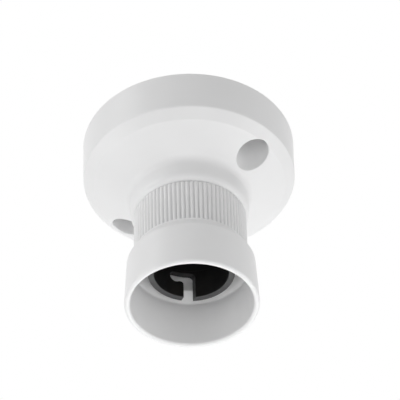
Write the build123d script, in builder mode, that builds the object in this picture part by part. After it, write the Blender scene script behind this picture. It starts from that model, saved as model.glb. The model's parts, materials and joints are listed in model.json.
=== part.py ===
from build123d import *
import os
from math import atan2, cos, degrees, radians, sin, tan

# Ceiling lamp holder with a bayonet socket, hanging down from the ceiling.
# The origin is the centre of the face that meets the ceiling, +Z points up into the ceiling.
# Depths are counted down from that face, so a depth of 10 lies at z = -10.

# Dome of the base
base_r = 33.0
base_draft = 0.2
side_h = 13.7
band_w = 3.0
band_h = 2.7
face_angle = 25.3
base_wall = 2.3
dome_round = 0.9
rim_round = 0.3

# Neck under the dome
neck_wall = 2.8
neck_h = 7.7
neck_root_round = 2.6
neck_foot_round = 2.2

# Ceiling fixings, two wells with a screw seat at the top
fixing_pitch = 50.0
fixing_azimuth = 51.0
well_r = 4.9
well_wall = 1.5
well_web = 3.0
fixing_hole_r = 2.25

# Lamp socket, turned about the vertical so that the locked pins lie along its own Y
socket_turn = 25.4
socket_r = 11.3
barrel_wall = 1.85
barrel_len = 28.7
barrel_clearance = 0.1
socket_grip = 10.4
socket_relief = 0.3
flange_w = 2.05
flange_t = 2.0
flange_clearance = 0.2
key_w = 3.0
key_reach = 1.1
barrel_lip_out = 0.25
barrel_lip_in = 0.15

# Bayonet slot, seen along the socket's Y
slot_w = 3.4
slot_offset = 4.2
slot_depth = 9.5
pocket_r = 1.9
pocket_drop = 0.4
slot_corner = 1.5
slot_lip = 0.9

# Threaded spigot that carries the shade ring
spigot_wall = 1.2
spigot_len = 11.6
spigot_chamfer = 0.5
thread_depth = 0.4
thread_clearance = 0.1

# Shade ring with its skirt
ring_gap = 0.3
ring_len = 34.5
ring_wall = 2.25
ring_chamfer = 0.35
flute_len = 15.4
flute_count = 78
flute_r = 0.45
shoulder_w = 2.2
shoulder_h = 3.5
skirt_flare = 0.75
skirt_wall = 1.75
skirt_taper = 0.7
skirt_depth = 15.3
throat_h = 3.2
mouth_round = 0.8
shoulder_round = 1.5
ledge_round = 1.2

# Contact block with the terminals, and the plunger guide that it presses on the barrel's flange
seat_depth = 19.0
block_r = 17.5
block_play = 0.3
block_t = 10.5
collar_h = 4.0
nose_len = 11.0
nose_clearance = 0.25
block_round = 0.5
boss_gap = 0.5
ear_azimuth = 64.4
ear_r = 3.3
ear_t = 3.0
boss_r = 3.2
boss_top_depth = 15.0
block_screw_r = 1.4
block_screw_len = 6.6
block_head_r = 2.6
block_head_h = 1.8
screw_play = 0.05
ear_hole_play = 0.2

# Spring plungers
plunger_pitch = 11.5
plunger_r = 2.3
plunger_play = 0.05
plunger_reach = 6.8
plunger_head_r = 2.9
plunger_head_h = 1.4
plunger_bore_play = 0.1
plunger_tip = 0.9
nose_web = 3.0
spring_wire_r = 0.25
spring_play = 0.5
spring_turns = 8

# Brass terminals with clamping screws
bar_w = 6.0
bar_h = 7.5
bar_sink = 1.0
bar_margin = 3.0
bar_play = 0.1
bar_edge = 0.3
side_bar_w = 5.2
side_bar_rim = 2.3
screw_pitch = 7.2
side_screw_pitch = 6.4
wire_hole_r = 1.6
wire_hole_drop = 4.1
wire_slot_w = 4.2
clamp_screw_r = 1.45
clamp_screw_len = 3.4
clamp_head_r = 2.1
clamp_head_h = 1.3
driver_slot_w = 0.7
driver_slot_d = 0.6
screw_head_edge = 0.25
screw_point = 0.35

# Radii that follow from the sizes above
barrel_r = socket_r + barrel_wall
spigot_bore_r = barrel_r + barrel_clearance
spigot_r = spigot_bore_r + spigot_wall
ring_bore_r = spigot_r + thread_depth + thread_clearance
land_r = ring_bore_r + ring_wall
skirt_top_r = land_r + shoulder_w
skirt_mouth_r = skirt_top_r + skirt_flare
mouth_r = skirt_mouth_r - skirt_wall
flange_r = barrel_r + flange_w
recess_r = flange_r + flange_clearance
neck_r = recess_r + neck_wall
band_r = base_r - base_draft - band_w
nose_r = socket_r - nose_clearance
plunger_hole_r = plunger_r + plunger_play
plunger_bore_r = plunger_head_r + plunger_bore_play
ear_rho = block_r + boss_gap + boss_r
side_bar_rho = block_r - side_bar_rim - side_bar_w / 2

# Levels that follow from the sizes above
side_z = -side_h
band_z = side_z - band_h
face_end_z = band_z - (band_r - neck_r) * tan(radians(face_angle))
neck_z = face_end_z - neck_h
spigot_z = neck_z - spigot_len
ring_z = neck_z - ring_gap
flute_z = ring_z - flute_len
mouth_z = ring_z - ring_len
ledge_z = mouth_z + skirt_depth
seat_z = -seat_depth
block_z = seat_z + block_t
flange_top_z = seat_z - collar_h
flange_z = flange_top_z - flange_t
barrel_z = flange_top_z - barrel_len
nose_z = flange_top_z - nose_len
step_z = nose_z + nose_web
bar_top_z = block_z - bar_sink
bar_z = bar_top_z - bar_h
wire_z = bar_top_z - wire_hole_drop
boss_z = -boss_top_depth


def inset(before, point, after, wall):
    """Corner of a wall's inner outline, straight across the wall from the outer corner."""
    a = (Vector(*point) - Vector(*before)).normalized()
    b = (Vector(*after) - Vector(*point)).normalized()
    a_side = Vector(a.Y, -a.X)
    b_side = Vector(b.Y, -b.X)
    middle = (a_side + b_side).normalized()
    moved = Vector(*point) + middle * (wall / middle.dot(a_side))
    return (moved.X, moved.Y)


def corner(sketch, r, z):
    return sketch.vertices().sort_by_distance((r, z, 0))[0]


def turned(x, y, turn=socket_turn):
    """Point (x, y) of the socket's own axes, in the part's axes."""
    c = cos(radians(turn))
    s = sin(radians(turn))
    return (x * c - y * s, x * s + y * c)


def upright(turn):
    """Plane through the axis whose x is the socket's X after the turn, and whose y is +Z."""
    c = cos(radians(turn))
    s = sin(radians(turn))
    return Plane(origin=(0, 0, 0), x_dir=(c, s, 0), z_dir=(s, -c, 0))


def level(z):
    """Horizontal plane at z with the socket's own x and y."""
    return Plane(origin=(0, 0, z), x_dir=(*turned(1, 0), 0), z_dir=(0, 0, 1))


fixing_spots = []
for half in (1, -1):
    rho = half * fixing_pitch / 2
    fixing_spots.append((rho * sin(radians(fixing_azimuth)), -rho * cos(radians(fixing_azimuth))))

ear_spots = []
for half in (1, -1):
    ear_spots.append((half * ear_rho * sin(radians(ear_azimuth)),
                      half * ear_rho * cos(radians(ear_azimuth))))

plunger_spots = [(plunger_pitch / 2, 0), (-plunger_pitch / 2, 0)]

os.makedirs("parts", exist_ok=True)


# Base housing: dome, neck and spigot in one moulding, open to the ceiling
dome_outline = [
    (0, 0),
    (base_r, 0),
    (base_r - base_draft, side_z),
    (band_r, band_z),
    (neck_r, face_end_z),
    (neck_r, neck_z),
    (spigot_r, neck_z),
    (spigot_r, spigot_z),
    (0, spigot_z),
]
side_foot = inset(*dome_outline[1:4], base_wall)
band_foot = inset(*dome_outline[2:5], base_wall)
floor_r = band_foot[0] - (band_foot[1] - seat_z) / tan(radians(face_angle))

with BuildPart() as cavity_core:
    with BuildSketch(Plane.XZ):
        with BuildLine():
            Polyline(
                (0, 0),
                (base_r - base_wall, 0),
                side_foot,
                band_foot,
                (floor_r, seat_z),
                (recess_r, seat_z),
                (recess_r, flange_z),
                (spigot_bore_r, flange_z),
                (spigot_bore_r, spigot_z),
                (0, spigot_z),
                close=True,
            )
        make_face()
    revolve(axis=Axis.Z)
    with BuildSketch(level(flange_z)):
        Rectangle(2 * (recess_r + key_reach), key_w + 2 * flange_clearance)
    extrude(amount=flange_t + flange_clearance)
    with BuildSketch(level(seat_z)):
        Circle(block_r + block_play)
    extrude(amount=block_t)
    with BuildSketch(Plane.XY):
        with Locations(*fixing_spots):
            Circle(well_r + well_wall)
    extrude(amount=-seat_depth, mode=Mode.SUBTRACT)
    with BuildSketch(level(boss_z)):
        with Locations(*ear_spots):
            Circle(boss_r)
    extrude(amount=seat_z - boss_z, mode=Mode.SUBTRACT)

with BuildPart() as base_housing:
    with BuildSketch(Plane.XZ) as dome_section:
        with BuildLine():
            Polyline(*dome_outline, close=True)
        make_face()
        for point in dome_outline[2:4]:
            fillet(corner(dome_section, *point), dome_round)
        fillet(corner(dome_section, neck_r, face_end_z), neck_root_round)
        fillet(corner(dome_section, neck_r, neck_z), neck_foot_round)
        fillet(corner(dome_section, base_r, 0), rim_round)
        chamfer(corner(dome_section, spigot_r, spigot_z), spigot_chamfer)
    revolve(axis=Axis.Z)
    add(cavity_core.part, mode=Mode.SUBTRACT)
    with BuildSketch(Plane.XY.offset(-well_web)):
        with Locations(*fixing_spots):
            Circle(well_r)
    extrude(amount=neck_z, mode=Mode.SUBTRACT)
    with BuildSketch(Plane.XY):
        with Locations(*fixing_spots):
            Circle(fixing_hole_r)
    extrude(amount=-well_web, mode=Mode.SUBTRACT)
    with BuildSketch(level(boss_z)):
        with Locations(*ear_spots):
            Circle(block_screw_r + screw_play)
    extrude(amount=-(block_screw_len - ear_t + screw_play), mode=Mode.SUBTRACT)


# Bayonet barrel: black liner of the socket, with two J slots half a turn apart
with BuildPart() as bayonet_barrel:
    with BuildSketch(Plane.XZ) as barrel_section:
        with BuildLine():
            Polyline(
                (socket_r + socket_relief, flange_top_z),
                (flange_r, flange_top_z),
                (flange_r, flange_z),
                (barrel_r, flange_z),
                (barrel_r, barrel_z),
                (socket_r, barrel_z),
                (socket_r, barrel_z + socket_grip),
                (socket_r + socket_relief, barrel_z + socket_grip + socket_relief),
                close=True,
            )
        make_face()
        fillet(corner(barrel_section, barrel_r, barrel_z), barrel_lip_out)
        fillet(corner(barrel_section, socket_r, barrel_z), barrel_lip_in)
    revolve(axis=Axis.Z)
    with BuildSketch(level(flange_z)):
        Rectangle(2 * (flange_r + key_reach), key_w)
        Circle(barrel_r, mode=Mode.SUBTRACT)
    extrude(amount=flange_t)
    for turn in (socket_turn, socket_turn + 180):
        with BuildSketch(upright(turn)) as slot_outline:
            pocket_z = barrel_z + slot_depth - pocket_r
            leg_h = 2 * pocket_r - pocket_drop
            with Locations((slot_offset, barrel_z + slot_depth / 2)):
                Rectangle(slot_w, slot_depth)
            with Locations((0, barrel_z + slot_depth)):
                Rectangle(slot_offset, leg_h, align=(Align.MIN, Align.MAX))
            with Locations((0, pocket_z)):
                Circle(pocket_r)
            fillet(corner(slot_outline, slot_offset + slot_w / 2, barrel_z + slot_depth), slot_corner)
            fillet(corner(slot_outline, slot_offset - slot_w / 2, barrel_z + slot_depth - leg_h), slot_lip)
        extrude(amount=-(barrel_r + flange_w), mode=Mode.SUBTRACT)


# Shade ring: fluted grip, shoulder and skirt, screwed on the spigot
with BuildPart() as shade_ring:
    with BuildSketch(Plane.XZ) as ring_section:
        with BuildLine():
            Polyline(
                (ring_bore_r, ring_z),
                (land_r, ring_z),
                (land_r, flute_z),
                (skirt_top_r, flute_z - shoulder_h),
                (skirt_mouth_r, mouth_z),
                (mouth_r, mouth_z),
                (mouth_r - skirt_taper, ledge_z),
                (ring_bore_r, ledge_z + throat_h),
                close=True,
            )
        make_face()
        chamfer(corner(ring_section, land_r, ring_z), ring_chamfer)
        chamfer(corner(ring_section, ring_bore_r, ring_z), ring_chamfer)
        fillet(corner(ring_section, skirt_top_r, flute_z - shoulder_h), shoulder_round)
        for r in (skirt_mouth_r, mouth_r):
            fillet(corner(ring_section, r, mouth_z), mouth_round)
        fillet(corner(ring_section, mouth_r - skirt_taper, ledge_z), ledge_round)
    revolve(axis=Axis.Z)
    with BuildSketch(Plane.XY.offset(ring_z)):
        with PolarLocations(land_r, flute_count):
            Circle(flute_r)
    extrude(amount=-flute_len, mode=Mode.SUBTRACT)


# Contact block: disc that holds the terminals, with two ears for its screws
bars = {
    "live_terminal": {"x": plunger_pitch / 2, "y": 0, "along_y": True, "screws": 1},
    "neutral_terminal": {"x": -plunger_pitch / 2, "y": 0, "along_y": True, "screws": 2},
    "loop_terminal": {"x": 0, "y": side_bar_rho, "along_y": False, "screws": 2},
    "earth_terminal": {"x": 0, "y": -side_bar_rho, "along_y": False, "screws": 2},
}


def screw_spots(bar):
    """Places of a terminal's clamping screws in the socket's own axes."""
    pitch = screw_pitch if bar["along_y"] else side_screw_pitch
    spots = []
    for index in range(bar["screws"]):
        shift = (index - (bar["screws"] - 1) / 2) * pitch
        if bar["along_y"]:
            spots.append((bar["x"], bar["y"] + shift))
        else:
            spots.append((bar["x"] + shift, bar["y"]))
    return spots


def bar_size(bar):
    pitch = screw_pitch if bar["along_y"] else side_screw_pitch
    length = (bar["screws"] - 1) * pitch + 2 * bar_margin
    return (bar_w, length) if bar["along_y"] else (length, side_bar_w)


with BuildPart() as contact_block:
    with BuildSketch(level(seat_z)):
        Circle(block_r)
    extrude(amount=block_t)
    with BuildSketch(level(boss_z)):
        with Locations(*ear_spots):
            Circle(ear_r)
        for x, y in ear_spots:
            with Locations(Location((x / 2, y / 2), degrees(atan2(y, x)))):
                Rectangle(ear_rho, 2 * ear_r)
    extrude(amount=ear_t)
    chamfer(contact_block.faces().sort_by(Axis.Z)[-1].edges(), block_round)
    for bar in bars.values():
        length_x, length_y = bar_size(bar)
        with BuildSketch(level(block_z)):
            with Locations((bar["x"], bar["y"])):
                Rectangle(length_x + 2 * bar_play, length_y + 2 * bar_play)
            for x, y in screw_spots(bar):
                if bar["along_y"]:
                    side = 1 if bar["x"] > 0 else -1
                    with Locations((x + side * block_r / 2, y)):
                        Rectangle(block_r, wire_slot_w)
                else:
                    side = 1 if bar["y"] > 0 else -1
                    with Locations((x, y + side * block_r / 2)):
                        Rectangle(wire_slot_w, block_r)
        extrude(amount=bar_z - block_z, mode=Mode.SUBTRACT)
    with BuildSketch(level(seat_z)):
        with Locations(*plunger_spots):
            Circle(plunger_bore_r)
    extrude(amount=bar_z - seat_z, mode=Mode.SUBTRACT)
    with BuildSketch(level(boss_z)):
        with Locations(*ear_spots):
            Circle(block_screw_r + ear_hole_play)
    extrude(amount=ear_t, mode=Mode.SUBTRACT)


# Plunger guide: collar under the contact block, and the nose that the plungers slide in
with BuildPart() as plunger_guide:
    with BuildSketch(level(seat_z)):
        Circle(flange_r)
    extrude(amount=-collar_h)
    with BuildSketch(level(flange_top_z)):
        Circle(nose_r)
    extrude(amount=-nose_len)
    chamfer(plunger_guide.faces().sort_by(Axis.Z)[0].edges(), block_round)
    with BuildSketch(level(step_z)):
        with Locations(*plunger_spots):
            Circle(plunger_bore_r)
    extrude(amount=seat_z - step_z, mode=Mode.SUBTRACT)
    with BuildSketch(level(nose_z)):
        with Locations(*plunger_spots):
            Circle(plunger_hole_r)
    extrude(amount=nose_web, mode=Mode.SUBTRACT)

named_parts = {
    "base_housing": base_housing,
    "bayonet_barrel": bayonet_barrel,
    "shade_ring": shade_ring,
    "contact_block": contact_block,
    "plunger_guide": plunger_guide,
}


# Plungers and their springs, under the live and neutral terminals
def make_plunger(spot):
    with BuildPart() as plunger:
        with BuildSketch(level(step_z)):
            with Locations(spot):
                Circle(plunger_head_r)
        extrude(amount=plunger_head_h)
        with BuildSketch(level(step_z)):
            with Locations(spot):
                Circle(plunger_r)
        extrude(amount=-(nose_web + plunger_reach))
        fillet(plunger.faces().sort_by(Axis.Z)[0].edges(), plunger_tip)
    return plunger


def make_spring(spot):
    foot_z = step_z + plunger_head_h
    coil_r = plunger_bore_r - spring_play - spring_wire_r
    coil_h = bar_z - foot_z - 2 * spring_wire_r
    foot = (*turned(*spot), foot_z + spring_wire_r)
    with BuildPart() as spring:
        with BuildLine():
            coil = Helix(pitch=coil_h / spring_turns, height=coil_h, radius=coil_r, center=foot)
        with BuildSketch(Plane(origin=coil @ 0, z_dir=coil % 0)):
            Circle(spring_wire_r)
        sweep(is_frenet=True)
    return spring


for name, spot in zip(("live", "neutral"), plunger_spots):
    named_parts[name + "_plunger"] = make_plunger(spot)
    named_parts[name + "_spring"] = make_spring(spot)


# Terminals, each with a wire hole under every clamping screw
def make_terminal(bar):
    length_x, length_y = bar_size(bar)
    with BuildPart() as terminal:
        with BuildSketch(level(bar_z)):
            with Locations((bar["x"], bar["y"])):
                Rectangle(length_x, length_y)
        extrude(amount=bar_h)
        chamfer(terminal.edges(), bar_edge)
        with BuildSketch(level(bar_top_z)):
            with Locations(*screw_spots(bar)):
                Circle(clamp_screw_r + screw_play)
        extrude(amount=-wire_hole_drop, mode=Mode.SUBTRACT)
        for x, y in screw_spots(bar):
            turn = socket_turn if bar["along_y"] else socket_turn + 90
            across = Plane(origin=(*turned(x, y), wire_z), z_dir=(*turned(1, 0, turn), 0))
            with BuildSketch(across):
                Circle(wire_hole_r)
            extrude(amount=bar_w, both=True, mode=Mode.SUBTRACT)
    return terminal


def make_screw(x, y, top_z, shank_r, shank_len, head_r, head_h):
    """Slotted screw whose head stands on top_z."""
    with BuildPart() as screw:
        with BuildSketch(level(top_z)):
            with Locations((x, y)):
                Circle(head_r)
        extrude(amount=head_h)
        chamfer(screw.faces().sort_by(Axis.Z)[-1].edges(), screw_head_edge)
        with BuildSketch(level(top_z)):
            with Locations((x, y)):
                Circle(shank_r)
        extrude(amount=-shank_len)
        chamfer(screw.faces().sort_by(Axis.Z)[0].edges(), screw_point)
        with BuildSketch(level(top_z + head_h)):
            with Locations((x, y)):
                Rectangle(3 * head_r, driver_slot_w)
        extrude(amount=-driver_slot_d, mode=Mode.SUBTRACT)
    return screw


for name, bar in bars.items():
    named_parts[name] = make_terminal(bar)
    for index, (x, y) in enumerate(screw_spots(bar)):
        screw_name = name.replace("terminal", "clamp_screw")
        if bar["screws"] > 1:
            screw_name += "_" + "ab"[index]
        named_parts[screw_name] = make_screw(
            x, y, bar_top_z, clamp_screw_r, clamp_screw_len, clamp_head_r, clamp_head_h)

for name, (x, y) in zip(("block_screw_a", "block_screw_b"), ear_spots):
    named_parts[name] = make_screw(
        x, y, boss_z + ear_t, block_screw_r, block_screw_len, block_head_r, block_head_h)

for name, piece in named_parts.items():
    piece.part.label = name
    export_step(piece.part, f"parts/{name}.step")
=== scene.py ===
import json
import bpy
import numpy as np
from mathutils import Matrix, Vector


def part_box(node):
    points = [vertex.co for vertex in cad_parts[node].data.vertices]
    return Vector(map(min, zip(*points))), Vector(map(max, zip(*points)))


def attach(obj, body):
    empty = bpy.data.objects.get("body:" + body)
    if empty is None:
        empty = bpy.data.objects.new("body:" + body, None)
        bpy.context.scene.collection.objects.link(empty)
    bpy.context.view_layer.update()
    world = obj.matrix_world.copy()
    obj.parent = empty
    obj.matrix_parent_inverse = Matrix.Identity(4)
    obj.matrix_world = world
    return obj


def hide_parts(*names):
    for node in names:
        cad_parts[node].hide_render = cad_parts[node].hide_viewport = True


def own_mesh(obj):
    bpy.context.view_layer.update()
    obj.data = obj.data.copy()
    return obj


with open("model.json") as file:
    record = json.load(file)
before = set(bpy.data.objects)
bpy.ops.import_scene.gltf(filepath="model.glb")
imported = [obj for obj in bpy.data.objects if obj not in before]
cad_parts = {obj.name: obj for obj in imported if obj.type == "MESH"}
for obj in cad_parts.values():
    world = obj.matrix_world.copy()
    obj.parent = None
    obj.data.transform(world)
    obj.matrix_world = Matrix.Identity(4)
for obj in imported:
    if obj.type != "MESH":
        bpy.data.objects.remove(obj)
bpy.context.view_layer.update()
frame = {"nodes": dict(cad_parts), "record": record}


def standAt(thing, side, up, back, place):
    # a camera or a lamp looks along its own -Z, so its back points away from what it faces
    pose = np.eye(4)
    pose[:3] = np.stack([side, up, back, place], 1)
    thing.matrix_world = Matrix(pose.tolist())
    bpy.context.scene.collection.objects.link(thing)


# Camera: stands below the lamp holder and looks up at it
cameraView = {
    "target": (0.0, 0.0, -0.0322),       # point of the axis that the camera is aimed by
    "distance": 0.700,
    "below": 42.01,                      # degrees under the horizon
    "targetPixel": (189.56, 224.48),     # where the target lies in the picture
    "pictureSize": 400,
    "focalPixels": 2295.0,
    "roll": -1.38,                       # degrees
    "sensorWidth": 36.0,
    "clip": (0.01, 20.0),                # nearest and farthest distance that it sees
}


def makeCamera(look):
    # start with the camera's forward axis through the target, then turn it so that the target
    # moves from the picture's middle to its own pixel, and roll it about the new forward axis
    below = np.radians(look["below"])
    target = np.array(look["target"])
    place = target - look["distance"] * np.array([0.0, np.cos(below), np.sin(below)])
    forward = (target - place) / look["distance"]
    right = np.array([1.0, 0.0, 0.0])
    up = np.cross(right, forward)
    middle = look["pictureSize"] / 2
    aside = np.arctan((look["targetPixel"][0] - middle) / look["focalPixels"])
    above = np.arctan((middle - look["targetPixel"][1]) / look["focalPixels"])
    forward, right = (forward * np.cos(aside) - right * np.sin(aside),
                      right * np.cos(aside) + forward * np.sin(aside))
    forward, up = (forward * np.cos(above) - up * np.sin(above),
                   up * np.cos(above) + forward * np.sin(above))
    roll = np.radians(look["roll"])
    right, up = (right * np.cos(roll) + up * np.sin(roll),
                 up * np.cos(roll) - right * np.sin(roll))
    camera = bpy.data.objects.new("camera", bpy.data.cameras.new("camera"))
    camera.data.sensor_width = look["sensorWidth"]
    camera.data.lens = look["focalPixels"] * look["sensorWidth"] / look["pictureSize"]
    camera.data.clip_start, camera.data.clip_end = look["clip"]
    standAt(camera, right, up, -forward, place)
    bpy.context.scene.camera = camera


makeCamera(cameraView)
print("camera placed")

# Studio: soft lamps round the object, an even world and a pale floor far below
studio = {
    "worldLevel": 0.375,                 # grey level of the world that lights the object
    "floorDepth": -1.0,
    "floorSize": 6.0,
    "floorColour": (0.88, 0.88, 0.88, 1.0),
    "floorRoughness": 0.8,
    "floorGlow": 0.4,                    # only where the camera or a reflection sees the floor
    "lamps": {
        # name: (where it stands, width, power)
        "leftLamp": ((-0.90, 0.10, -0.15), 0.7, 0.35),
        "rightLamp": ((0.90, 0.10, -0.15), 0.7, 0.28),
        "frontTopLamp": ((-0.10, -0.50, 0.80), 0.7, 0.35),
        "leftHighLamp": ((-0.75, -0.35, 0.35), 0.7, 1.50),
        "rearLowLamp": ((0.15, 0.60, -0.58), 0.7, 1.80),
        "leftLowLamp": ((-0.65, 0.0, -0.58), 0.7, 1.72),
        "rightLowLamp": ((0.65, 0.0, -0.58), 0.7, 1.65),
        "frontLowLamp": ((0.10, -0.80, -0.58), 0.7, 1.10),
        "underLamp": ((0.0, -0.05, -0.60), 0.5, 0.20),
    },
}
white = (1.0, 1.0, 1.0, 1.0)


def makeLamp(name, place, width, power):
    # a disc that faces the camera's target
    lamp = bpy.data.objects.new(name, bpy.data.lights.new(name, "AREA"))
    lamp.data.shape = "DISK"
    lamp.data.size = width
    lamp.data.energy = power
    back = np.array(place) - np.array(cameraView["target"])
    back = back / np.linalg.norm(back)
    side = np.cross([0.0, 0.0, 1.0], back)
    side = side / np.linalg.norm(side)
    standAt(lamp, side, np.cross(back, side), back, place)


def seenRays(tree):
    # 1 for camera, glossy and transmission rays, which see a paler studio than the one that lights
    # the object
    rays = tree.nodes.new("ShaderNodeLightPath")
    seen = tree.nodes.new("ShaderNodeMath")
    seen.operation = "MAXIMUM"
    seenOrThrough = tree.nodes.new("ShaderNodeMath")
    seenOrThrough.operation = "MAXIMUM"
    tree.links.new(rays.outputs["Is Camera Ray"], seen.inputs[0])
    tree.links.new(rays.outputs["Is Glossy Ray"], seen.inputs[1])
    tree.links.new(seen.outputs[0], seenOrThrough.inputs[0])
    tree.links.new(rays.outputs["Is Transmission Ray"], seenOrThrough.inputs[1])
    return seenOrThrough.outputs[0]


def makeWorld(level):
    world = bpy.data.worlds.new("studioWorld")
    world.use_nodes = True
    tree = world.node_tree
    tree.nodes.clear()
    colour = tree.nodes.new("ShaderNodeMix")
    colour.data_type = "RGBA"
    colour.inputs["A"].default_value = (level, level, level, 1.0)
    colour.inputs["B"].default_value = white
    background = tree.nodes.new("ShaderNodeBackground")
    out = tree.nodes.new("ShaderNodeOutputWorld")
    tree.links.new(seenRays(tree), colour.inputs["Factor"])
    tree.links.new(colour.outputs["Result"], background.inputs["Color"])
    tree.links.new(background.outputs[0], out.inputs["Surface"])
    bpy.context.scene.world = world


def makeFloor(look):
    half, depth = look["floorSize"] / 2, look["floorDepth"]
    corners = [(-half, -half, depth), (half, -half, depth), (half, half, depth), (-half, half, depth)]
    mesh = bpy.data.meshes.new("studioFloor")
    mesh.from_pydata(corners, [], [(0, 1, 2, 3)])
    floor = bpy.data.objects.new("studioFloor", mesh)
    paint = bpy.data.materials.new("paleFloor")
    paint.use_nodes = True
    tree = paint.node_tree
    shader = tree.nodes["Principled BSDF"]
    shader.inputs["Base Color"].default_value = look["floorColour"]
    shader.inputs["Roughness"].default_value = look["floorRoughness"]
    shader.inputs["Emission Color"].default_value = white
    strength = tree.nodes.new("ShaderNodeMath")
    strength.operation = "MULTIPLY"
    strength.inputs[1].default_value = look["floorGlow"]
    tree.links.new(seenRays(tree), strength.inputs[0])
    tree.links.new(strength.outputs[0], shader.inputs["Emission Strength"])
    mesh.materials.append(paint)
    bpy.context.scene.collection.objects.link(floor)


for lampName, (place, width, power) in studio["lamps"].items():
    makeLamp(lampName, place, width, power)
makeWorld(studio["worldLevel"])
makeFloor(studio)
bpy.context.scene.view_settings.view_transform = "Standard"
print("studio lit")

# Sizes from here on are in millimetres, with z = 0 at the ceiling and negative below it, and noise
# scales are per metre. An outline is a list of corners (r, z, round, rows): the radius of the
# corner's rounding, and the rows that divide the side after it.
mm = 0.001
baseLow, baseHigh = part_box("base_housing")
ringLow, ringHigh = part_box("shade_ring")
barrelLow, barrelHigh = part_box("bayonet_barrel")


def cornerArcs(points, toBefore, toAfter, rounds, steps):
    # the arc that touches both sides of each corner: its centre is round / sin(half the corner's
    # angle) away along the bisector, and the point at share s is the first radius times
    # sin((1 - s) turn) plus the last radius times sin(s turn), all over sin(turn). The second
    # result is how far from its corner each arc starts.
    angle = np.arccos((toBefore * toAfter).sum(1))
    reach = (rounds / np.tan(angle / 2))[:, None]
    bisector = toBefore + toAfter
    bisector = bisector / np.linalg.norm(bisector, axis=1, keepdims=True)
    centre = points + bisector * (rounds / np.sin(angle / 2))[:, None]
    first = (points + toBefore * reach - centre)[:, None]
    last = (points + toAfter * reach - centre)[:, None]
    turn = (np.pi - angle)[:, None, None]
    share = np.linspace(0, 1, steps)[None, :, None]
    swept = np.sin((1 - share) * turn) * first + np.sin(share * turn) * last
    return centre[:, None] + swept / np.sin(turn), reach


def roundedOutline(corners, steps=6, hold=0.06):
    # a closed outline with an arc at each corner, a point just outside each end of the arc that
    # holds the sides straight, and the rows asked for between one corner and the next
    corners = np.array(corners, float)
    points, rounds, rows = corners[:, :2], corners[:, 2], corners[:, 3].astype(int)
    toBefore = np.roll(points, 1, 0) - points
    toAfter = np.roll(points, -1, 0) - points
    toBefore = toBefore / np.linalg.norm(toBefore, axis=1, keepdims=True)
    toAfter = toAfter / np.linalg.norm(toAfter, axis=1, keepdims=True)
    arcs, reach = cornerArcs(points, toBefore, toAfter, rounds, steps)
    before = points + toBefore * (reach + hold)
    after = points + toAfter * (reach + hold)
    stretches = []
    for index, count in enumerate(rows):
        share = np.linspace(0, 1, count + 2)[1:-1, None]
        between = after[index] * (1 - share) + before[(index + 1) % len(rows)] * share
        stretches += [before[index:index + 1], arcs[index], after[index:index + 1], between]
    return np.concatenate(stretches)


def spunGrid(r, z, angles, centre=(0.0, 0.0)):
    # the point (r cos angle, r sin angle, z) for each angle and row, moved to the centre
    x = r * np.cos(angles)[:, None] + centre[0]
    y = r * np.sin(angles)[:, None] + centre[1]
    return np.stack(np.broadcast_arrays(x, y, z), -1)


def gridFaces(columns, rows, closed):
    # a quad from each point to the next column and the next row, and from the last row round to
    # the first where the grid is closed
    index = np.arange(columns * rows).reshape(columns, rows)
    beside = np.roll(index, -1, 0)
    quads = np.stack([index, beside, np.roll(beside, -1, 1), np.roll(index, -1, 1)], -1)
    return (quads if closed else quads[:, :-1]).reshape(-1, 4)


def makeMesh(name, points, *faceSets):
    # each face set is an array with a row of point numbers for each face
    corners = np.concatenate([faces.ravel() for faces in faceSets]).astype(np.int32)
    sizes = np.concatenate([np.full(len(faces), faces.shape[1]) for faces in faceSets])
    mesh = bpy.data.meshes.new(name)
    mesh.vertices.add(len(points))
    mesh.vertices.foreach_set("co", (points * mm).astype(np.float32).ravel())
    mesh.loops.add(len(corners))
    mesh.loops.foreach_set("vertex_index", corners)
    mesh.polygons.add(len(sizes))
    mesh.polygons.foreach_set("loop_start", (np.cumsum(sizes) - sizes).astype(np.int32))
    mesh.update(calc_edges=True)
    return mesh


def ringMesh(name, grid):
    # a grid that closes both ways
    return makeMesh(name, grid.reshape(-1, 3), gridFaces(*grid.shape[:2], True))


def cappedSolid(grid):
    # points and faces of a grid whose rows run from its lowest ring to its highest, with a flat
    # face on each end
    columns, rows = grid.shape[:2]
    index = np.arange(columns * rows).reshape(columns, rows)
    return grid.reshape(-1, 3), gridFaces(columns, rows, False), index[None, ::-1, 0], index[None, :, -1]


def joinSolids(name, solids):
    # one mesh of several solids, each with its point numbers moved past those before it
    points, faceSets, count = [], [], 0
    for solidPoints, *solidFaces in solids:
        faceSets += [faces + count for faces in solidFaces]
        points.append(solidPoints)
        count += len(solidPoints)
    return makeMesh(name, np.concatenate(points), *faceSets)


def turned(points, degrees):
    # points turned about the vertical axis
    c, s = np.cos(np.radians(degrees)), np.sin(np.radians(degrees))
    x, y, z = np.moveaxis(points, -1, 0)
    return np.stack([x * c - y * s, x * s + y * c, z], -1)


def uprightBlock(foot, low, high, turn):
    # each point of the foot goes straight up from the low height to the high one
    rows = np.array([[(x, y, low), (x, y, high)] for x, y in foot])
    return cappedSolid(turned(rows, turn))


def newObject(mesh):
    piece = bpy.data.objects.new(mesh.name, mesh)
    bpy.context.scene.collection.objects.link(piece)
    return piece


def combine(piece, operation, toolMesh):
    # joins or cuts a piece with closed solids and keeps the result as the piece's own mesh
    tool = newObject(toolMesh)
    modifier = piece.modifiers.new(operation, "BOOLEAN")
    modifier.operation = operation
    modifier.solver = "EXACT"
    modifier.object = tool
    depsgraph = bpy.context.evaluated_depsgraph_get()
    result = bpy.data.meshes.new_from_object(piece.evaluated_get(depsgraph))
    piece.modifiers.clear()
    piece.data = result
    bpy.data.objects.remove(tool)


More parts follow.
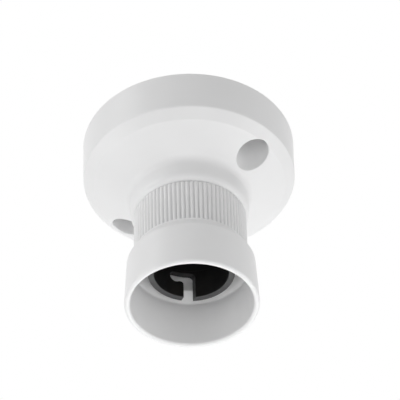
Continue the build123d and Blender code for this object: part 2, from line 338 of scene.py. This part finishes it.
def dressPiece(piece, slotName, bodyName, nodeName, sharpAngle=32.0):
    # edges that bend by more than the sharp angle, in degrees, stay sharp
    piece.data.shade_smooth()
    piece.data.set_sharp_from_angle(angle=np.radians(sharpAngle))
    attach(piece, bodyName)
    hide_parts(nodeName)
    piece.data.materials.clear()
    piece.data.materials.append(finishes[slotName])
    print(piece.name, "made with", len(piece.data.polygons), "faces")


# The coarse thread that the spigot and the ring's bore share
threadForm = {
    "pitch": 2.5,
    "steepness": 0.9,                    # over 0.5, so that crests and roots come out flat
    "wallPlay": 0.01,                    # rows this close to the wall carry the thread
}


def threadRise(r, z, angles, wallR, thread):
    # height of the ridge on the rows that lie on the wall: half plus the steepness times a cosine
    # that climbs by one pitch in a turn, cut off at 0 and 1, and faded out at both ends
    phase = z / threadForm["pitch"] - angles[:, None] / (2 * np.pi)
    ridge = np.clip(0.5 + threadForm["steepness"] * np.cos(2 * np.pi * phase), 0, 1)
    fadeLow = np.clip((z - thread["low"]) / thread["fade"], 0, 1)
    fadeHigh = np.clip((thread["high"] - z) / thread["fade"], 0, 1)
    onWall = np.abs(r - wallR) < threadForm["wallPlay"]
    return thread["height"] * ridge * (fadeLow * fadeHigh) * onWall


def newGroup(name, inputs, outputs):
    # an empty shader group with named float and colour sockets, and its two end nodes
    group = bpy.data.node_groups.new(name, "ShaderNodeTree")
    for way, sockets in (("INPUT", inputs), ("OUTPUT", outputs)):
        for socketName, kind, value in sockets:
            socket = group.interface.new_socket(socketName, in_out=way, socket_type="NodeSocket" + kind)
            if value is not None:
                socket.default_value = value
    return group, group.nodes.new("NodeGroupInput"), group.nodes.new("NodeGroupOutput")


def noiseNode(tree, vector, scale, detail, roughness):
    noise = tree.nodes.new("ShaderNodeTexNoise")
    tree.links.new(vector, noise.inputs["Vector"])
    noise.inputs["Detail"].default_value = detail
    noise.inputs["Roughness"].default_value = roughness
    if isinstance(scale, float):
        noise.inputs["Scale"].default_value = scale
    else:
        tree.links.new(scale, noise.inputs["Scale"])
    return noise.outputs["Fac"]


def mathNode(tree, operation, *values):
    node = tree.nodes.new("ShaderNodeMath")
    node.operation = operation
    for socket, value in zip(node.inputs, values):
        if isinstance(value, float):
            socket.default_value = value
        else:
            tree.links.new(value, socket)
    return node.outputs[0]


def rangeNode(tree, value, fromLow, fromHigh, toLow=0.0, toHigh=1.0):
    node = tree.nodes.new("ShaderNodeMapRange")
    tree.links.new(value, node.inputs["Value"])
    levels = {"From Min": fromLow, "From Max": fromHigh, "To Min": toLow, "To Max": toHigh}
    for socketName, level in levels.items():
        if isinstance(level, float):
            node.inputs[socketName].default_value = level
        else:
            tree.links.new(level, node.inputs[socketName])
    return node.outputs["Result"]


def mixNode(tree, factor, first, second):
    node = tree.nodes.new("ShaderNodeMix")
    node.data_type = "RGBA"
    for socketName, value in (("Factor", factor), ("A", first), ("B", second)):
        if isinstance(value, tuple):
            node.inputs[socketName].default_value = value
        else:
            tree.links.new(value, node.inputs[socketName])
    return node.outputs["Result"]


# Moulded plastic and machined metal, each a group that the finishes share
skinOutputs = [("Colour", "Color", None), ("Roughness", "Float", None), ("Height", "Float", None)]
mouldedLook = {
    "cloudNoise": (4.0, 0.55),           # detail and roughness of the noise
    "cloudRange": (0.38, 0.68),          # noise where the cloud colour starts, and where it is full
    "skinNoise": (2.0, 0.4),
    "skinInGloss": 0.35,                 # share of the skin in what changes the gloss
    "glossRange": (0.45, 0.9),
    "cloudInHeight": 0.8,
}
machinedLook = {
    "lineScale": (0.12, 0.12, 4.0),      # stretches the lines round the piece and packs them along it
    "lineNoise": (3.0, 0.6),
    "patchScale": 420.0,
    "patchNoise": (4.0, 0.6),
    "dullRange": (0.45, 0.72),
    "linesInGloss": 0.5,
    "glossRange": (0.55, 1.0),
}


def makeMouldedSkin(look):
    # moulded plastic: broad faint clouds in the colour, a fine pebbled skin from the mould's
    # polish, and gloss that changes with both
    group, ins, outs = newGroup("mouldedSkin", [
        ("Colour", "Color", (0.9, 0.9, 0.9, 1.0)), ("Cloud Colour", "Color", (0.85, 0.85, 0.85, 1.0)),
        ("Cloud Scale", "Float", 90.0), ("Skin Scale", "Float", 2600.0), ("Gloss Low", "Float", 0.38),
        ("Gloss High", "Float", 0.48)], skinOutputs)
    place = group.nodes.new("ShaderNodeTexCoord").outputs["Object"]
    clouds = noiseNode(group, place, ins.outputs["Cloud Scale"], *look["cloudNoise"])
    skin = noiseNode(group, place, ins.outputs["Skin Scale"], *look["skinNoise"])
    cloudMask = rangeNode(group, clouds, *look["cloudRange"])
    colour = mixNode(group, cloudMask, ins.outputs["Colour"], ins.outputs["Cloud Colour"])
    unevenness = mathNode(group, "MULTIPLY_ADD", skin, look["skinInGloss"], clouds)
    gloss = rangeNode(group, unevenness, *look["glossRange"], ins.outputs["Gloss Low"],
                      ins.outputs["Gloss High"])
    height = mathNode(group, "MULTIPLY_ADD", clouds, look["cloudInHeight"], skin)
    group.links.new(colour, outs.inputs["Colour"])
    group.links.new(gloss, outs.inputs["Roughness"])
    group.links.new(height, outs.inputs["Height"])
    return group


def makeMachinedSkin(look):
    # turned or drawn metal: fine rings across the upright axis from noise squeezed along it, and
    # dull patches
    group, ins, outs = newGroup("machinedSkin", [
        ("Colour", "Color", (0.8, 0.8, 0.8, 1.0)), ("Dull Colour", "Color", (0.6, 0.6, 0.6, 1.0)),
        ("Line Scale", "Float", 900.0), ("Gloss Low", "Float", 0.22), ("Gloss High", "Float", 0.45)],
        skinOutputs)
    place = group.nodes.new("ShaderNodeTexCoord").outputs["Object"]
    squeezed = group.nodes.new("ShaderNodeMapping")
    squeezed.inputs["Scale"].default_value = look["lineScale"]
    group.links.new(place, squeezed.inputs["Vector"])
    lines = noiseNode(group, squeezed.outputs["Vector"], ins.outputs["Line Scale"], *look["lineNoise"])
    patches = noiseNode(group, place, look["patchScale"], *look["patchNoise"])
    dull = rangeNode(group, patches, *look["dullRange"])
    colour = mixNode(group, dull, ins.outputs["Colour"], ins.outputs["Dull Colour"])
    unevenness = mathNode(group, "MULTIPLY_ADD", lines, look["linesInGloss"], patches)
    gloss = rangeNode(group, unevenness, *look["glossRange"], ins.outputs["Gloss Low"],
                      ins.outputs["Gloss High"])
    group.links.new(colour, outs.inputs["Colour"])
    group.links.new(gloss, outs.inputs["Roughness"])
    group.links.new(lines, outs.inputs["Height"])
    return group


def paintedRimLight(tree, axes, colour, rim):
    # painted light: the rim is painted a lighter grey that stands in for light falling on it; the
    # colour comes in downwards from its top and is full at its foot and below
    fade = rangeNode(tree, axes.outputs["Z"], rim["top"] * mm, rim["foot"] * mm)
    return mixNode(tree, fade, colour, rim["colour"])


def paintedFluteShade(tree, axes, colour, flutes):
    # painted shade: the flutes' bottoms, between the foot and the top, are painted darker for the
    # shade in them; it comes in between the first two radii and goes out between the last two
    x, y, z = (axes.outputs[name] for name in "XYZ")
    across = mathNode(tree, "MULTIPLY_ADD", y, y, mathNode(tree, "MULTIPLY", x, x))
    radius = mathNode(tree, "SQRT", across)
    radii = [r * mm for r in flutes["radii"]]
    comesIn = rangeNode(tree, radius, radii[0], radii[1])
    goesOut = rangeNode(tree, radius, radii[3], radii[2])
    overFoot = mathNode(tree, "GREATER_THAN", z, flutes["foot"] * mm)
    underTop = mathNode(tree, "LESS_THAN", z, flutes["top"] * mm)
    inBottom = mathNode(tree, "MULTIPLY", comesIn, goesOut)
    onGrip = mathNode(tree, "MULTIPLY", overFoot, underTop)
    return mixNode(tree, mathNode(tree, "MULTIPLY", inBottom, onGrip), colour, flutes["colour"])


def skinnedMaterial(name, skinGroup, values, bumpHeight, bumpStrength, metallic=0.0, rim=None, flutes=None):
    # a material from one of the two skins, with painted rim light or painted flute shade laid over its
    # colour
    material = bpy.data.materials.new(name)
    material.use_nodes = True
    tree = material.node_tree
    shader = tree.nodes["Principled BSDF"]
    shader.inputs["Metallic"].default_value = metallic
    skin = tree.nodes.new("ShaderNodeGroup")
    skin.node_tree = skinGroup
    for socketName, value in values.items():
        skin.inputs[socketName].default_value = value
    bump = tree.nodes.new("ShaderNodeBump")
    bump.inputs["Distance"].default_value = bumpHeight * mm
    bump.inputs["Strength"].default_value = bumpStrength
    tree.links.new(skin.outputs["Height"], bump.inputs["Height"])
    tree.links.new(bump.outputs["Normal"], shader.inputs["Normal"])
    tree.links.new(skin.outputs["Roughness"], shader.inputs["Roughness"])
    colour = skin.outputs["Colour"]
    if rim or flutes:
        axes = tree.nodes.new("ShaderNodeSeparateXYZ")
        place = tree.nodes.new("ShaderNodeTexCoord")
        tree.links.new(place.outputs["Object"], axes.inputs["Vector"])
    # painted light on the rim
    if rim:
        colour = paintedRimLight(tree, axes, colour, rim)
    # painted shade in the flutes' bottoms
    if flutes:
        colour = paintedFluteShade(tree, axes, colour, flutes)
    tree.links.new(colour, shader.inputs["Base Color"])
    return material


mouldedSkin = makeMouldedSkin(mouldedLook)
machinedSkin = makeMachinedSkin(machinedLook)
ringTop, barrelRim = ringHigh.z / mm, barrelLow.z / mm
# The flutes' bottoms lie at a radius of 16.5 and their ridges at 17.2, as the ring's sizes say
finishes = {
    "white_moulding": skinnedMaterial(
        "whiteMoulding", mouldedSkin,
        {"Colour": (0.950, 0.950, 0.952, 1.0), "Cloud Colour": (0.935, 0.935, 0.936, 1.0),
         "Skin Scale": 900.0, "Gloss Low": 0.28, "Gloss High": 0.33},
        bumpHeight=0.01, bumpStrength=0.06,
        # painted shade: the flutes' bottoms are painted darker to stand in for the shade that falls in them
        flutes={"radii": (16.3, 16.4, 16.7, 17.05), "foot": ringTop - 15.3, "top": ringTop - 0.12,
                "colour": (0.79, 0.79, 0.792, 1.0)}),
    "black_moulding": skinnedMaterial(
        "blackMoulding", mouldedSkin,
        {"Colour": (0.013, 0.013, 0.014, 1.0), "Cloud Colour": (0.019, 0.019, 0.019, 1.0),
         "Cloud Scale": 240.0, "Gloss Low": 0.28, "Gloss High": 0.44},
        bumpHeight=0.03, bumpStrength=0.4,
        # painted light: the barrel's rim is painted a lighter grey for the light that falls on it
        rim={"top": barrelRim + 0.4, "foot": barrelRim + 0.1, "colour": (0.075, 0.075, 0.076, 1.0)}),
    "brass": skinnedMaterial(
        "brass", machinedSkin,
        {"Colour": (0.80, 0.60, 0.28, 1.0), "Dull Colour": (0.62, 0.44, 0.20, 1.0)},
        bumpHeight=0.02, bumpStrength=0.3, metallic=1.0),
    "plated_steel": skinnedMaterial(
        "platedSteel", machinedSkin,
        {"Colour": (0.66, 0.66, 0.65, 1.0), "Dull Colour": (0.52, 0.53, 0.54, 1.0)},
        bumpHeight=0.02, bumpStrength=0.3, metallic=1.0),
}
for part in frame["record"]["subparts"]:
    node = frame["nodes"][part["node"]]
    for slot in node.material_slots:
        slot.material = finishes[part["material_slot"]]
print("finishes laid on")

# Shade ring: fluted grip, shoulder and skirt
ring = {
    "top": ringTop,
    "mouth": ringLow.z / mm,
    "boreR": 14.95,
    "landR": 17.2,                       # outside of the grip, on the ridges
    "shoulderR": 19.4,
    "mouthR": 20.15,
    "mouthInnerR": 18.4,
    "ledgeR": 17.7,                      # inside of the skirt at its deepest
    "fluteLength": 15.4,
    "shoulderHeight": 3.5,
    "skirtDepth": 15.3,
    "throatHeight": 3.2,                 # slope from the ledge up to the bore
    "mouthRound": 0.8,
    "shoulderRound": 1.5,
    "landRound": 0.9,
    "topRound": 0.3,
    "boreRound": 0.25,
    "throatRound": 0.3,
    "ledgeRound": 1.2,
    "boreRows": 26,
    "flutes": 78,
    "fluteTurn": -90.0,                  # degrees, a flute stands straight in front
    "fluteDepth": 0.70,
    "fluteSqueeze": 1.9,                 # over 1 makes the bottoms narrower than the ridges
    "fluteTopShare": 0.4,                # share of the depth at the ring's top
    "fluteTopRun": 0.9,
    "fluteColumns": (0, 0.13, 0.25, 0.37, 0.5, 0.63, 0.75, 0.87),
    "fluteFootGap": 0.35,                # clears the rounding at the land's foot
    "fluteRunOut": 0.7,
    "fluteEndRows": 7,
    "thread": {"height": 0.3, "low": -41.0, "high": -30.4, "fade": 0.5},
}


def makeShadeRing(size):
    fluteEnd = size["top"] - size["fluteLength"]
    shoulderEnd = fluteEnd - size["shoulderHeight"]
    ledge = size["mouth"] + size["skirtDepth"]
    outline = roundedOutline([
        (size["mouthR"], size["mouth"], size["mouthRound"], 0),
        (size["shoulderR"], shoulderEnd, size["shoulderRound"], 0),
        (size["landR"], fluteEnd, size["landRound"], 0),
        (size["landR"], size["top"], size["topRound"], 0),
        (size["boreR"], size["top"], size["boreRound"], size["boreRows"]),
        (size["boreR"], ledge + size["throatHeight"], size["throatRound"], 0),
        (size["ledgeR"], ledge, size["ledgeRound"], 0),
        (size["mouthInnerR"], size["mouth"], size["mouthRound"], 0),
    ])
    # rows for the flutes' ends go in where the outline climbs the land
    fluteFoot = fluteEnd + size["fluteFootGap"]
    runOut = fluteFoot + size["fluteRunOut"] * np.linspace(0, 1, size["fluteEndRows"]) ** 2
    firstAbove = np.argmax(outline[:, 1] > fluteFoot)
    endRows = np.stack([np.full(len(runOut), size["landR"]), runOut], 1)
    outline = np.concatenate([outline[:firstAbove], endRows, outline[firstAbove:]])
    r, z = outline.T
    place = (np.arange(size["flutes"])[:, None] + np.array(size["fluteColumns"])).ravel()
    angles = np.radians(size["fluteTurn"]) + 2 * np.pi * place / size["flutes"]
    # across the flutes the depth is a raised cosine to the power of the squeeze. Along them it dies
    # out in a quarter circle at the lower end, and it is shallower at the ring's top edge.
    across = (0.5 + 0.5 * np.cos(2 * np.pi * place)) ** size["fluteSqueeze"]
    climb = np.clip((z - fluteFoot) / size["fluteRunOut"], 0, 1)
    underTop = np.clip((size["top"] - z) / size["fluteTopRun"], 0, 1)
    topFade = size["fluteTopShare"] + (1 - size["fluteTopShare"]) * underTop
    onGrip = (r > (size["boreR"] + size["landR"]) / 2) & (z > fluteEnd)
    along = np.sqrt(1 - (1 - climb) ** 2) * topFade * onGrip
    flutes = size["fluteDepth"] * across[:, None] * along
    thread = threadRise(r, z, angles, size["boreR"], size["thread"])
    return newObject(ringMesh("shadeRing", spunGrid(r - flutes + thread, z, angles)))


dressPiece(makeShadeRing(ring), "white_moulding", "ring", "shade_ring")

# Base housing: dome, neck and threaded spigot, with the two fixing wells in their posts, the two
# bosses that the contact block is screwed to, and the notches for the barrel's keys
housing = {
    "baseR": baseHigh.y / mm,
    "sideR": 32.8,
    "sideZ": -13.7,
    "bandR": 29.8,
    "bandZ": -16.4,
    "faceAngle": 25.3,                   # degrees between the face and the ceiling
    "neckR": 18.2,
    "neckZ": -29.583,
    "spigotR": 14.45,
    "spigotBoreR": 13.25,
    "spigotZ": baseLow.z / mm,
    "wall": 2.3,
    "seatZ": -19.0,
    "recessR": 15.4,
    "recessZ": -25.0,                    # where the barrel's flange rests
    "spigotRound": 0.45,
    "spigotRootRound": 0.2,
    "neckFootRound": 2.2,
    "neckRootRound": 2.6,
    "domeRound": 0.9,
    "rimRound": 0.3,
    "rimInnerRound": 0.2,
    "cavityRound": 0.4,
    "seatRound": 0.3,
    "recessRound": 0.15,
    "recessFootRound": 0.1,
    "boreRound": 0.15,
    "spigotRows": 44,
    "columns": 288,
    "thread": {"height": 0.38, "low": -40.6, "high": -30.6, "fade": 0.6},
}
wells = {
    "spread": 25.0,                      # from the axis
    "azimuth": 51.0,                     # degrees to the right of straight in front
    "r": 4.9,
    "seatZ": -3.0,
    "holeR": 2.25,
    "postR": 6.4,
    "postTop": -0.02,
    "lipRound": 0.35,
    "lipSink": 0.02,                     # the lip's corner lies this far below the dome's face
    "lipSteps": 7,
    "cutterDrop": 8.0,                   # the cutter ends this far below the lip
    "cutterFlare": 0.05,                 # and this much wider
    "columns": 96,
}
bosses = {
    "spread": 21.2,                      # from the axis
    "azimuth": 51.0,                     # degrees from the X axis
    "r": 3.2,
    "top": -15.0,
    "holeR": 1.45,
    "holeDepth": 3.65,
}
notch = {
    "length": 33.0,
    "width": 3.4,
    "height": 2.2,
    "turn": 25.4,                        # degrees, as the barrel is turned
}
intoWall = 1.2                           # posts and bosses start inside the dome's wall
overshoot = 1.0                          # cutters run past a face by this


def domeFace(size):
    # corners (r, z) of the dome's outer face, from the neck to the side
    slope = np.tan(np.radians(size["faceAngle"]))
    faceEnd = size["bandZ"] - (size["bandR"] - size["neckR"]) * slope
    return np.array([(size["neckR"], faceEnd), (size["bandR"], size["bandZ"]),
                     (size["sideR"], size["sideZ"])])


def domeInside(size):
    # the inner side is the outer one moved in by the wall, and its corners lie where the moved
    # sides meet
    wall = size["wall"]
    slope = np.tan(np.radians(size["faceAngle"]))
    bandSlope = (size["sideZ"] - size["bandZ"]) / (size["sideR"] - size["bandR"])
    bandRise = wall * np.hypot(1, bandSlope)
    faceRise = wall * np.hypot(1, slope)
    innerR = size["sideR"] - wall
    sideFoot = size["bandZ"] + (innerR - size["bandR"]) * bandSlope + bandRise
    bandFootR = size["bandR"] + (faceRise - bandRise) / (bandSlope - slope)
    bandFoot = size["bandZ"] + (bandFootR - size["bandR"]) * slope + faceRise
    floorR = bandFootR - (bandFoot - size["seatZ"]) / slope
    return [(innerR, sideFoot), (bandFootR, bandFoot), (floorR, size["seatZ"])]


def housingOutline(size):
    faceEnd, bandEnd, sideEnd = domeFace(size)
    sideFoot, bandFoot, floorEnd = domeInside(size)
    return roundedOutline([
        (size["spigotR"], size["spigotZ"], size["spigotRound"], size["spigotRows"]),
        (size["spigotR"], size["neckZ"], size["spigotRootRound"], 0),
        (size["neckR"], size["neckZ"], size["neckFootRound"], 0),
        (*faceEnd, size["neckRootRound"], 0),
        (*bandEnd, size["domeRound"], 0),
        (*sideEnd, size["domeRound"], 0),
        (size["baseR"], 0.0, size["rimRound"], 0),
        (size["baseR"] - size["wall"], 0.0, size["rimInnerRound"], 0),
        (*sideFoot, size["cavityRound"], 0),
        (*bandFoot, size["cavityRound"], 0),
        (*floorEnd, size["seatRound"], 0),
        (size["recessR"], size["seatZ"], size["recessRound"], 0),
        (size["recessR"], size["recessZ"], size["recessFootRound"], 0),
        (size["spigotBoreR"], size["recessZ"], size["recessFootRound"], 0),
        (size["spigotBoreR"], size["spigotZ"], size["boreRound"], 0),
    ])


def faceOver(face, centre, radius, around):
    # height of the dome's outer face, straight between its corners, at each point of a circle
    x = centre[0] + radius * np.cos(around)
    y = centre[1] + radius * np.sin(around)
    return np.interp(np.hypot(x, y), face[:, 0], face[:, 1])


def roundPost(face, centre, radius, top, around):
    # each side line of the post starts inside the dome's wall and ends at the flat top
    foot = faceOver(face, centre, radius, around) + intoWall
    heights = np.stack([foot, np.full_like(foot, top)], 1)
    return cappedSolid(spunGrid(radius, heights, around, centre))


def wellCutter(face, centre, hole, around):
    # from below: the well's lip, an arc between the dome's face and the well's wall for each angle
    # round the well, then the wall, the seat for the screw's head, and the screw's hole
    count = len(around)
    edge = faceOver(face, centre, hole["r"], around)
    corner = np.stack([np.full(count, hole["r"]), edge - hole["lipSink"]], 1)
    alongFace = np.stack([np.ones(count), faceOver(face, centre, hole["r"] + 1, around) - edge], 1)
    alongFace = alongFace / np.linalg.norm(alongFace, axis=1, keepdims=True)
    upWall = np.tile([0.0, 1.0], (count, 1))
    rounds = np.full(count, hole["lipRound"])
    lips = cornerArcs(corner, alongFace, upWall, rounds, hole["lipSteps"])[0]
    below = lips[:, :1] + [hole["cutterFlare"], -hole["cutterDrop"]]
    seat = [(hole["r"], hole["seatZ"]), (hole["holeR"], hole["seatZ"]), (hole["holeR"], overshoot)]
    rows = np.concatenate([below, lips, np.tile(seat, (count, 1, 1))], 1)
    return cappedSolid(spunGrid(rows[..., 0], rows[..., 1], around, centre))


def bossCutter(centre, boss, around):
    heights = np.array([[boss["top"] - boss["holeDepth"], boss["top"] + overshoot]])
    return cappedSolid(spunGrid(boss["holeR"], heights, around, centre))


def notchCutter(size, slit):
    # a bar across the whole recess cuts both notches
    x, y = slit["length"] / 2, slit["width"] / 2
    foot = [(-x, -y), (x, -y), (x, y), (-x, y)]
    return uprightBlock(foot, size["recessZ"], size["recessZ"] + slit["height"], slit["turn"])


def makeBaseHousing(size):
    angles = np.linspace(0, 2 * np.pi, size["columns"], endpoint=False)
    r, z = housingOutline(size).T
    thread = threadRise(r, z, angles, size["spigotR"], size["thread"])
    piece = newObject(ringMesh("baseHousing", spunGrid(r + thread, z, angles)))

    face = domeFace(size)
    around = np.linspace(0, 2 * np.pi, wells["columns"], endpoint=False)
    wellAngle, bossAngle = np.radians(wells["azimuth"]), np.radians(bosses["azimuth"])
    toWell = np.array([np.sin(wellAngle), -np.cos(wellAngle)])
    toBoss = np.array([np.cos(bossAngle), np.sin(bossAngle)])
    posts, cutters = [], []
    for half in (1, -1):
        centre = half * wells["spread"] * toWell
        posts.append(roundPost(face, centre, wells["postR"], wells["postTop"], around))
        cutters.append(wellCutter(face, centre, wells, around))
        centre = half * bosses["spread"] * toBoss
        posts.append(roundPost(face, centre, bosses["r"], bosses["top"], around))
        cutters.append(bossCutter(centre, bosses, around))
    cutters.append(notchCutter(size, notch))
    combine(piece, "UNION", joinSolids("posts", posts))
    combine(piece, "DIFFERENCE", joinSolids("cutters", cutters))
    return piece


dressPiece(makeBaseHousing(housing), "white_moulding", "base", "base_housing")

# Bayonet barrel with its two J slots and two keys
barrel = {
    "socketR": 11.3,
    "reliefR": 11.6,                     # above the grip
    "barrelR": 13.15,
    "flangeR": 15.2,
    "top": barrelHigh.z / mm,
    "flangeZ": -25.0,
    "rim": barrelRim,
    "grip": 10.4,                        # height of the bore that guides the lamp's cap
    "turn": 25.4,                        # degrees
    "rimRound": 0.25,
    "rimInnerRound": 0.15,
    "flangeRound": 0.15,
    "flangeTopRound": 0.2,
    "fineRound": 0.1,
    "columns": 300,
    "keyReach": 16.3,
    "keyWidth": 3.0,
    "keySink": 1.05,                     # the key starts this far inside the flange's edge
    "keyInset": 0.02,                    # and this far inside its two faces
    "slotOffset": 4.2,                   # from the pocket to the slot's middle
    "slotWidth": 3.4,
    "slotDepth": 9.5,
    "slotCorner": 1.5,
    "slotLip": 0.9,
    "pocketR": 1.9,
    "pocketDrop": 0.4,
    "cornerSteps": 8,
    "pocketSteps": 28,
    "cutterBelow": 3.0,                  # the slots' cutters run this far past the rim,
    "cutterOutside": 1.0,                # past the flange
    "cutterInside": 4.0,                 # and past the socket's wall
}


def arc(centre, radius, fromAngle, toAngle, steps):
    # points round a circle from one angle to the other, in degrees
    angles = np.radians(np.linspace(fromAngle, toAngle, steps))
    return np.stack([centre[0] + radius * np.cos(angles), centre[1] + radius * np.sin(angles)], 1)


def slotOutline(size):
    # the J slot seen from the middle of the socket: up its right side, over the corner and the
    # pocket, round the lip and down its left side. The first number runs along the socket's X,
    # the second is the height.
    left = size["slotOffset"] - size["slotWidth"] / 2
    right = size["slotOffset"] + size["slotWidth"] / 2
    deep = size["rim"] + size["slotDepth"]
    lipZ = deep - 2 * size["pocketR"] + size["pocketDrop"]
    cornerR, lipR = size["slotCorner"], size["slotLip"]
    lowest = 360 - np.degrees(np.arcsin(1 - size["pocketDrop"] / size["pocketR"]))
    end = size["rim"] - size["cutterBelow"]
    return np.concatenate([
        [(left, end), (right, end)],
        arc((right - cornerR, deep - cornerR), cornerR, 0, 90, size["cornerSteps"]),
        arc((0, deep - size["pocketR"]), size["pocketR"], 90, lowest, size["pocketSteps"]),
        arc((left - lipR, lipZ - lipR), lipR, 90, 0, size["cornerSteps"]),
    ])


def makeBarrel(size):
    relief = size["rim"] + size["grip"]
    fine = size["fineRound"]
    outline = roundedOutline([
        (size["barrelR"], size["rim"], size["rimRound"], 0),
        (size["barrelR"], size["flangeZ"], fine, 0),
        (size["flangeR"], size["flangeZ"], size["flangeRound"], 0),
        (size["flangeR"], size["top"], size["flangeTopRound"], 0),
        (size["reliefR"], size["top"], fine, 0),
        (size["reliefR"], relief + size["reliefR"] - size["socketR"], fine, 0),
        (size["socketR"], relief, fine, 0),
        (size["socketR"], size["rim"], size["rimInnerRound"], 0),
    ])
    angles = np.linspace(0, 2 * np.pi, size["columns"], endpoint=False)
    piece = newObject(ringMesh("bayonetBarrel", spunGrid(outline[:, 0], outline[:, 1], angles)))

    flat = slotOutline(size)
    half, root, tip = size["keyWidth"] / 2, size["flangeR"] - size["keySink"], size["keyReach"]
    foot = [(root, -half), (tip, -half), (tip, half), (root, half)]
    keyLow, keyHigh = size["flangeZ"] + size["keyInset"], size["top"] - size["keyInset"]
    # the slot's outline is carried inwards through the wall, from outside the flange
    reaches = (size["flangeR"] + size["cutterOutside"], size["socketR"] - size["cutterInside"])
    rows = [np.stack([flat[:, 0], np.full(len(flat), reach), flat[:, 1]], 1) for reach in reaches]
    slots, keys = [], []
    for turn in (size["turn"], size["turn"] + 180):
        slots.append(cappedSolid(turned(np.stack(rows, 1), turn)))
        keys.append(uprightBlock(foot, keyLow, keyHigh, turn))
    combine(piece, "UNION", joinSolids("keys", keys))
    combine(piece, "DIFFERENCE", joinSolids("slots", slots))
    return piece


dressPiece(makeBarrel(barrel), "black_moulding", "base", "bayonet_barrel")

# Contact springs: round wire in an open coil between each plunger's head and its terminal
spring = {
    "names": ("live", "neutral"),
    "coilR": 2.25,
    "wireR": 0.25,
    "turns": 8,
    "closed": 0.55,                      # how much closer the end turns lie, as a share
    "stepsPerTurn": 28,
    "wireColumns": 12,
    "sharpAngle": 50.0,                  # over the 30 degrees between the wire's faces
}


def makeSpring(name, size):
    # the wire's middle runs round the coil's axis while it climbs by share - closed sin(2 pi share)
    # / 2 pi of the height, which brings the end turns together. The wire's own circle has one
    # radius along the coil's and the other at right angles to that and to the wire.
    low, high = (np.array(corner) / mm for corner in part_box(name + "_spring"))
    middle = (low + high) / 2
    share = np.linspace(0, 1, size["turns"] * size["stepsPerTurn"] + 1)
    angles = 2 * np.pi * size["turns"] * share
    climb = share - size["closed"] * np.sin(2 * np.pi * share) / (2 * np.pi)
    radius = np.stack([np.cos(angles), np.sin(angles), np.zeros_like(angles)], 1)
    height = low[2] + size["wireR"] + climb * (high[2] - low[2] - 2 * size["wireR"])
    line = middle * [1, 1, 0] + size["coilR"] * radius + height[:, None] * [0, 0, 1]
    ahead = np.gradient(line, axis=0)
    ahead = ahead / np.linalg.norm(ahead, axis=1, keepdims=True)
    crossing = np.cross(ahead, radius)
    around = np.linspace(0, 2 * np.pi, size["wireColumns"], endpoint=False)[:, None, None]
    grid = line + size["wireR"] * (np.cos(around) * radius + np.sin(around) * crossing)
    piece = newObject(joinSolids(name + "ContactSpring", [cappedSolid(grid)]))
    dressPiece(piece, "plated_steel", "base", name + "_spring", size["sharpAngle"])
    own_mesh(piece)


for springName in spring["names"]:
    makeSpring(springName, spring)
